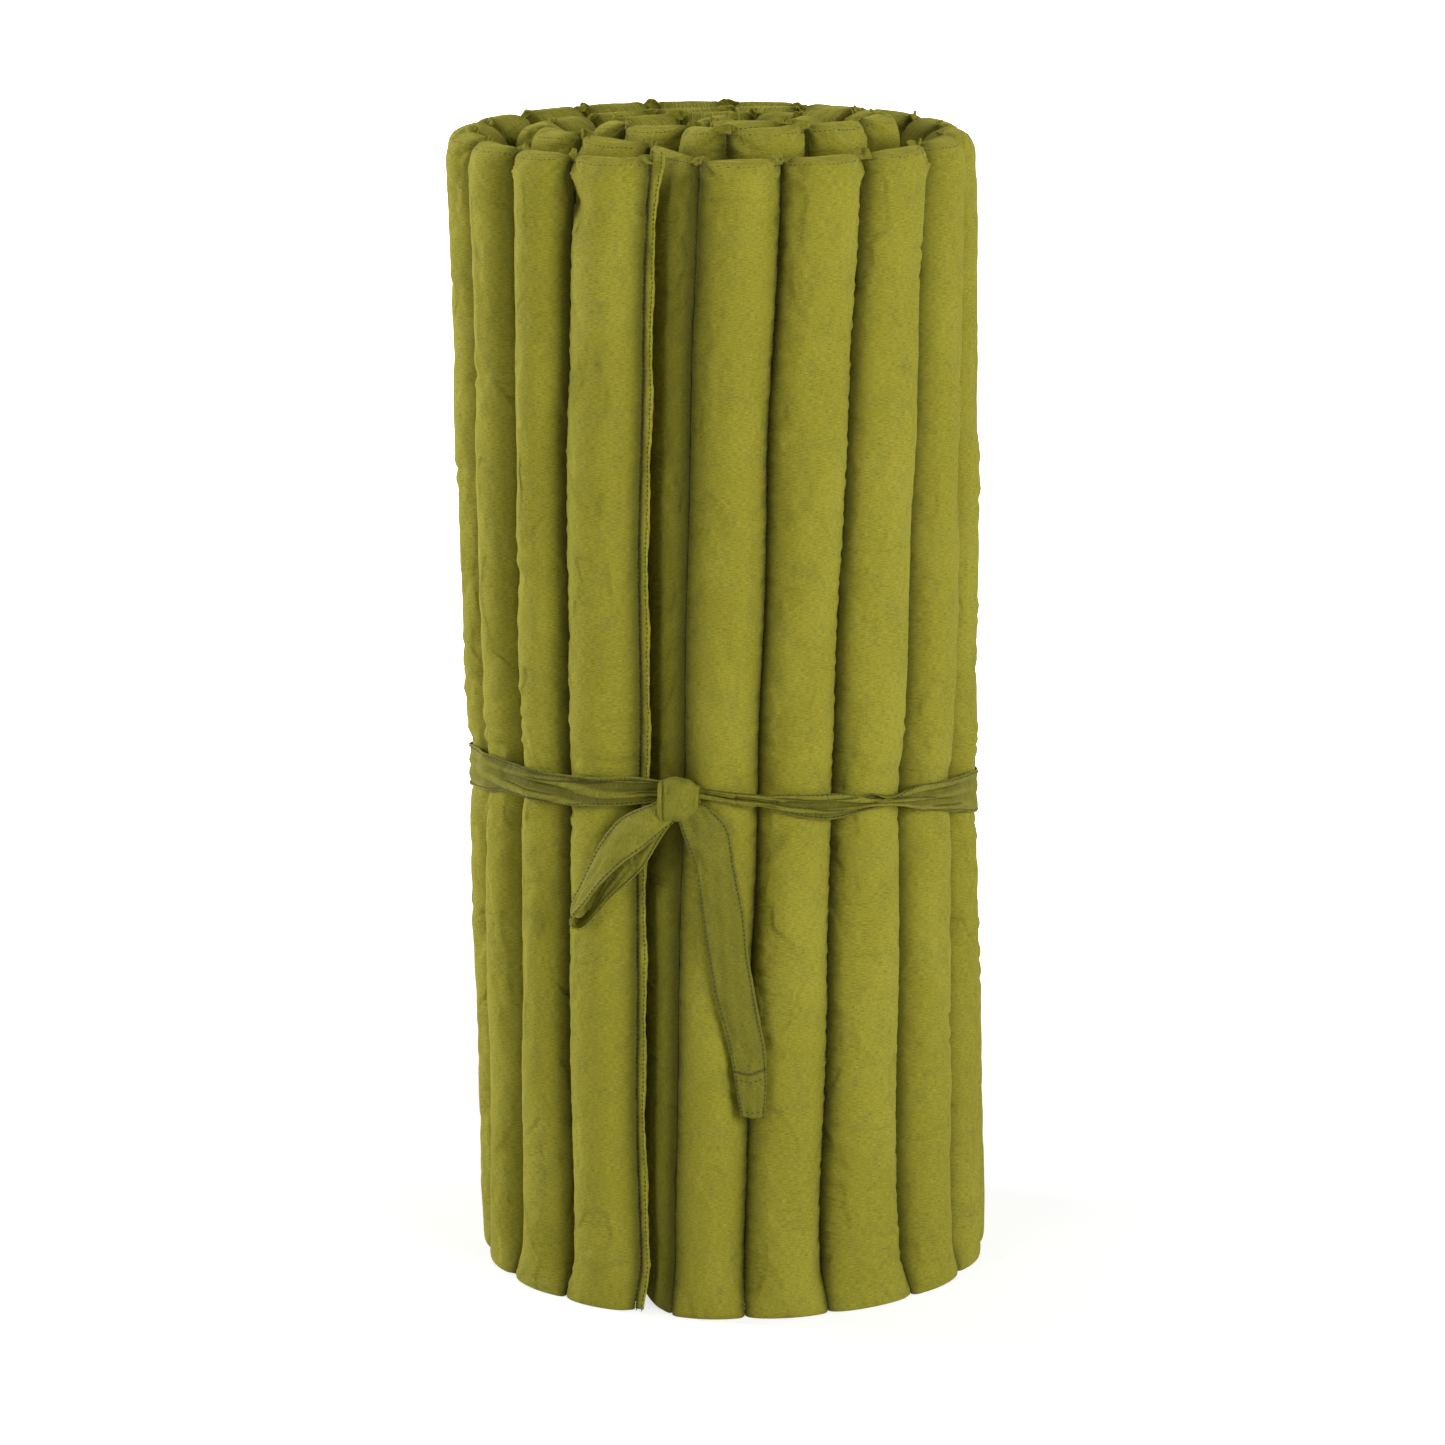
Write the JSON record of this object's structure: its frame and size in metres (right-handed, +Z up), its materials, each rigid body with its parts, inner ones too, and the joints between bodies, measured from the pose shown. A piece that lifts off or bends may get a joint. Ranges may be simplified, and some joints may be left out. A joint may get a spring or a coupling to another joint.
{
  "type": "roll-up futon mattress",
  "caption": "Roll-up mattress of stuffed cloth channels sewn side by side, rolled up in a spiral, standing on its end and tied round the middle with a cloth strap in a half bow.",
  "frame": {"origin": "middle of the base of the roll, on the floor that it stands on", "axes": "+Z up along the roll's axis, -Y towards the front with the knot, +X to the right of someone facing the knot"},
  "size_m": [0.3517, 0.3585, 0.7598],
  "materials": {
    "casing": "matt plain-woven cotton",
    "tie": "matt plain-woven cotton, edge-stitched"
  },
  "bodies": {
    "channel_01": {"channel_01": "casing", "tie_knot": "tie"},
    "channel_02": {"channel_02": "casing", "tie_span_02": "tie"},
    "channel_03": {"channel_03": "casing", "tie_span_03": "tie"},
    "channel_04": {"channel_04": "casing", "tie_span_04": "tie"},
    "channel_05": {"channel_05": "casing", "tie_span_05": "tie"},
    "channel_06": {"channel_06": "casing", "tie_span_06": "tie"},
    "channel_07": {"channel_07": "casing", "tie_span_07": "tie"},
    "channel_08": {"channel_08": "casing", "tie_span_08": "tie"},
    "channel_09": {"channel_09": "casing", "tie_span_09": "tie"},
    "channel_10": {"channel_10": "casing", "tie_span_10": "tie"},
    "channel_11": {"channel_11": "casing", "tie_span_11": "tie"},
    "channel_12": {"channel_12": "casing", "tie_span_12": "tie"},
    "channel_13": {"channel_13": "casing", "tie_span_13": "tie"},
    "channel_14": {"channel_14": "casing", "tie_span_14": "tie"},
    "channel_15": {"channel_15": "casing", "tie_span_15": "tie"},
    "channel_16": {"channel_16": "casing", "tie_span_16": "tie"},
    "channel_17": {"channel_17": "casing", "tie_span_17": "tie"},
    "channel_18": {"channel_18": "casing", "tie_span_18": "tie"},
    "channel_19": {"channel_19": "casing"},
    "channel_20": {"channel_20": "casing"},
    "channel_21": {"channel_21": "casing"},
    "channel_22": {"channel_22": "casing"},
    "channel_23": {"channel_23": "casing"},
    "channel_24": {"channel_24": "casing"},
    "channel_25": {"channel_25": "casing"},
    "channel_26": {"channel_26": "casing"},
    "channel_27": {"channel_27": "casing"},
    "channel_28": {"channel_28": "casing"},
    "channel_29": {"channel_29": "casing"},
    "channel_30": {"channel_30": "casing"},
    "channel_31": {"channel_31": "casing"},
    "channel_32": {"channel_32": "casing"},
    "channel_33": {"channel_33": "casing"},
    "channel_34": {"channel_34": "casing"},
    "channel_35": {"channel_35": "casing"},
    "channel_36": {"channel_36": "casing"},
    "channel_37": {"channel_37": "casing"},
    "channel_38": {"channel_38": "casing"},
    "channel_39": {"channel_39": "casing"},
    "channel_40": {"channel_40": "casing"},
    "tie_loop": {"tie_loop": "tie"},
    "tie_tail": {"tie_tail": "tie"}
  },
  "joints": [
    {"name": "seam_01", "type": "hinge", "parent": "channel_01", "child": "channel_02", "pos_m": [-0.0943, -0.12104, 0], "axis": [0, 0, 1], "range_deg": [0, 19.32]},
    {"name": "seam_02", "type": "hinge", "parent": "channel_02", "child": "channel_03", "pos_m": [-0.12904, -0.08302, 0], "axis": [0, 0, 1], "range_deg": [0, 19.32]},
    {"name": "seam_03", "type": "hinge", "parent": "channel_03", "child": "channel_04", "pos_m": [-0.14924, -0.03565, 0], "axis": [0, 0, 1], "range_deg": [0, 19.32]},
    {"name": "seam_04", "type": "hinge", "parent": "channel_04", "child": "channel_05", "pos_m": [-0.15263, 0.01574, 0], "axis": [0, 0, 1], "range_deg": [0, 19.32]},
    {"name": "seam_05", "type": "hinge", "parent": "channel_05", "child": "channel_06", "pos_m": [-0.13882, 0.06536, 0], "axis": [0, 0, 1], "range_deg": [0, 19.32]},
    {"name": "seam_06", "type": "hinge", "parent": "channel_06", "child": "channel_07", "pos_m": [-0.10938, 0.10761, 0], "axis": [0, 0, 1], "range_deg": [0, 19.32]},
    {"name": "seam_07", "type": "hinge", "parent": "channel_07", "child": "channel_08", "pos_m": [-0.06761, 0.13774, 0], "axis": [0, 0, 1], "range_deg": [0, 19.32]},
    {"name": "seam_08", "type": "hinge", "parent": "channel_08", "child": "channel_09", "pos_m": [-0.01823, 0.15235, 0], "axis": [0, 0, 1], "range_deg": [0, 19.32]},
    {"name": "seam_09", "type": "hinge", "parent": "channel_09", "child": "channel_10", "pos_m": [0.03321, 0.1498, 0], "axis": [0, 0, 1], "range_deg": [0, 19.32]},
    {"name": "seam_10", "type": "hinge", "parent": "channel_10", "child": "channel_11", "pos_m": [0.08091, 0.13037, 0], "axis": [0, 0, 1], "range_deg": [0, 19.32]},
    {"name": "seam_11", "type": "hinge", "parent": "channel_11", "child": "channel_12", "pos_m": [0.11949, 0.09626, 0], "axis": [0, 0, 1], "range_deg": [0, 19.32]},
    {"name": "seam_12", "type": "hinge", "parent": "channel_12", "child": "channel_13", "pos_m": [0.14461, 0.0513, 0], "axis": [0, 0, 1], "range_deg": [0, 19.32]},
    {"name": "seam_13", "type": "hinge", "parent": "channel_13", "child": "channel_14", "pos_m": [0.15344, 0.00056, 0], "axis": [0, 0, 1], "range_deg": [0, 19.32]},
    {"name": "seam_14", "type": "hinge", "parent": "channel_14", "child": "channel_15", "pos_m": [0.14498, -0.05024, 0], "axis": [0, 0, 1], "range_deg": [0, 19.32]},
    {"name": "seam_15", "type": "hinge", "parent": "channel_15", "child": "channel_16", "pos_m": [0.12019, -0.09538, 0], "axis": [0, 0, 1], "range_deg": [0, 19.32]},
    {"name": "seam_16", "type": "hinge", "parent": "channel_16", "child": "channel_17", "pos_m": [0.08186, -0.12978, 0], "axis": [0, 0, 1], "range_deg": [0, 19.32]},
    {"name": "seam_17", "type": "hinge", "parent": "channel_17", "child": "channel_18", "pos_m": [0.03431, -0.14955, 0], "axis": [0, 0, 1], "range_deg": [0, 19.32]},
    {"name": "seam_18", "type": "hinge", "parent": "channel_18", "child": "channel_19", "pos_m": [-0.0171, -0.15248, 0], "axis": [0, 0, 1], "range_deg": [0, 66.16]},
    {"name": "seam_19", "type": "hinge", "parent": "channel_19", "child": "channel_20", "pos_m": [-0.04535, -0.09729, 0], "axis": [0, 0, 1], "range_deg": [-24.03, 0]},
    {"name": "seam_20", "type": "hinge", "parent": "channel_20", "child": "channel_21", "pos_m": [-0.08544, -0.06497, 0], "axis": [0, 0, 1], "range_deg": [0, 27.76]},
    {"name": "seam_21", "type": "hinge", "parent": "channel_21", "child": "channel_22", "pos_m": [-0.10587, -0.01769, 0], "axis": [0, 0, 1], "range_deg": [0, 27.76]},
    {"name": "seam_22", "type": "hinge", "parent": "channel_22", "child": "channel_23", "pos_m": [-0.10193, 0.03366, 0], "axis": [0, 0, 1], "range_deg": [0, 27.76]},
    {"name": "seam_23", "type": "hinge", "parent": "channel_23", "child": "channel_24", "pos_m": [-0.07452, 0.07726, 0], "axis": [0, 0, 1], "range_deg": [0, 27.76]},
    {"name": "seam_24", "type": "hinge", "parent": "channel_24", "child": "channel_25", "pos_m": [-0.02995, 0.10307, 0], "axis": [0, 0, 1], "range_deg": [0, 27.76]},
    {"name": "seam_25", "type": "hinge", "parent": "channel_25", "child": "channel_26", "pos_m": [0.0215, 0.10516, 0], "axis": [0, 0, 1], "range_deg": [0, 27.76]},
    {"name": "seam_26", "type": "hinge", "parent": "channel_26", "child": "channel_27", "pos_m": [0.06801, 0.08304, 0], "axis": [0, 0, 1], "range_deg": [0, 27.76]},
    {"name": "seam_27", "type": "hinge", "parent": "channel_27", "child": "channel_28", "pos_m": [0.09886, 0.04181, 0], "axis": [0, 0, 1], "range_deg": [0, 27.76]},
    {"name": "seam_28", "type": "hinge", "parent": "channel_28", "child": "channel_29", "pos_m": [0.10695, -0.00905, 0], "axis": [0, 0, 1], "range_deg": [0, 27.76]},
    {"name": "seam_29", "type": "hinge", "parent": "channel_29", "child": "channel_30", "pos_m": [0.09043, -0.05783, 0], "axis": [0, 0, 1], "range_deg": [0, 27.76]},
    {"name": "seam_30", "type": "hinge", "parent": "channel_30", "child": "channel_31", "pos_m": [0.05308, -0.09329, 0], "axis": [0, 0, 1], "range_deg": [0, 27.76]},
    {"name": "seam_31", "type": "hinge", "parent": "channel_31", "child": "channel_32", "pos_m": [0.00352, -0.10728, 0], "axis": [0, 0, 1], "range_deg": [0, 84.41]},
    {"name": "seam_32", "type": "hinge", "parent": "channel_32", "child": "channel_33", "pos_m": [-0.01523, -0.05931, 0], "axis": [0, 0, 1], "range_deg": [-29.39, 0]},
    {"name": "seam_33", "type": "hinge", "parent": "channel_33", "child": "channel_34", "pos_m": [-0.0551, -0.02672, 0], "axis": [0, 0, 1], "range_deg": [0, 49.73]},
    {"name": "seam_34", "type": "hinge", "parent": "channel_34", "child": "channel_35", "pos_m": [-0.056, 0.02477, 0], "axis": [0, 0, 1], "range_deg": [0, 49.73]},
    {"name": "seam_35", "type": "hinge", "parent": "channel_35", "child": "channel_36", "pos_m": [-0.0173, 0.05874, 0], "axis": [0, 0, 1], "range_deg": [0, 49.73]},
    {"name": "seam_36", "type": "hinge", "parent": "channel_36", "child": "channel_37", "pos_m": [0.03364, 0.05117, 0], "axis": [0, 0, 1], "range_deg": [0, 49.73]},
    {"name": "seam_37", "type": "hinge", "parent": "channel_37", "child": "channel_38", "pos_m": [0.06079, 0.0074, 0], "axis": [0, 0, 1], "range_deg": [0, 49.73]},
    {"name": "seam_38", "type": "hinge", "parent": "channel_38", "child": "channel_39", "pos_m": [0.04494, -0.0416, 0], "axis": [0, 0, 1], "range_deg": [0, 103.02]},
    {"name": "seam_39", "type": "hinge", "parent": "channel_39", "child": "channel_40", "pos_m": [0.00077, -0.01512, 0], "axis": [0, 0, 1], "range_deg": [0, 80]},
    {"name": "loop_lift", "type": "hinge", "parent": "channel_01", "child": "tie_loop", "pos_m": [-0.04809, -0.17348, 0.33962], "axis": [-0.7501, 0.3031, 0.5878], "range_deg": [0, 75]},
    {"name": "tail_lift", "type": "hinge", "parent": "channel_01", "child": "tie_tail", "pos_m": [-0.02059, -0.17636, 0.33484], "axis": [-1, 0, 0], "range_deg": [0, 90]}
  ],
  "couplings": [
    {"joint": "seam_02", "follows": "seam_01", "ratio": 1},
    {"joint": "seam_03", "follows": "seam_01", "ratio": 1},
    {"joint": "seam_04", "follows": "seam_01", "ratio": 1},
    {"joint": "seam_05", "follows": "seam_01", "ratio": 1},
    {"joint": "seam_06", "follows": "seam_01", "ratio": 1},
    {"joint": "seam_07", "follows": "seam_01", "ratio": 1},
    {"joint": "seam_08", "follows": "seam_01", "ratio": 1},
    {"joint": "seam_09", "follows": "seam_01", "ratio": 1},
    {"joint": "seam_10", "follows": "seam_01", "ratio": 1},
    {"joint": "seam_11", "follows": "seam_01", "ratio": 1},
    {"joint": "seam_12", "follows": "seam_01", "ratio": 1},
    {"joint": "seam_13", "follows": "seam_01", "ratio": 1},
    {"joint": "seam_14", "follows": "seam_01", "ratio": 1},
    {"joint": "seam_15", "follows": "seam_01", "ratio": 1},
    {"joint": "seam_16", "follows": "seam_01", "ratio": 1},
    {"joint": "seam_17", "follows": "seam_01", "ratio": 1},
    {"joint": "seam_18", "follows": "seam_01", "ratio": 3.4241},
    {"joint": "seam_19", "follows": "seam_01", "ratio": -1.2436},
    {"joint": "seam_20", "follows": "seam_01", "ratio": 1.4367},
    {"joint": "seam_21", "follows": "seam_01", "ratio": 1.4367},
    {"joint": "seam_22", "follows": "seam_01", "ratio": 1.4367},
    {"joint": "seam_23", "follows": "seam_01", "ratio": 1.4367},
    {"joint": "seam_24", "follows": "seam_01", "ratio": 1.4367},
    {"joint": "seam_25", "follows": "seam_01", "ratio": 1.4367},
    {"joint": "seam_26", "follows": "seam_01", "ratio": 1.4367},
    {"joint": "seam_27", "follows": "seam_01", "ratio": 1.4367},
    {"joint": "seam_28", "follows": "seam_01", "ratio": 1.4367},
    {"joint": "seam_29", "follows": "seam_01", "ratio": 1.4367},
    {"joint": "seam_30", "follows": "seam_01", "ratio": 1.4367},
    {"joint": "seam_31", "follows": "seam_01", "ratio": 4.3686},
    {"joint": "seam_32", "follows": "seam_01", "ratio": -1.5208},
    {"joint": "seam_33", "follows": "seam_01", "ratio": 2.5738},
    {"joint": "seam_34", "follows": "seam_01", "ratio": 2.5738},
    {"joint": "seam_35", "follows": "seam_01", "ratio": 2.5738},
    {"joint": "seam_36", "follows": "seam_01", "ratio": 2.5738},
    {"joint": "seam_37", "follows": "seam_01", "ratio": 2.5738},
    {"joint": "seam_38", "follows": "seam_01", "ratio": 5.3317},
    {"joint": "seam_39", "follows": "seam_01", "ratio": 4.1403}
  ]
}
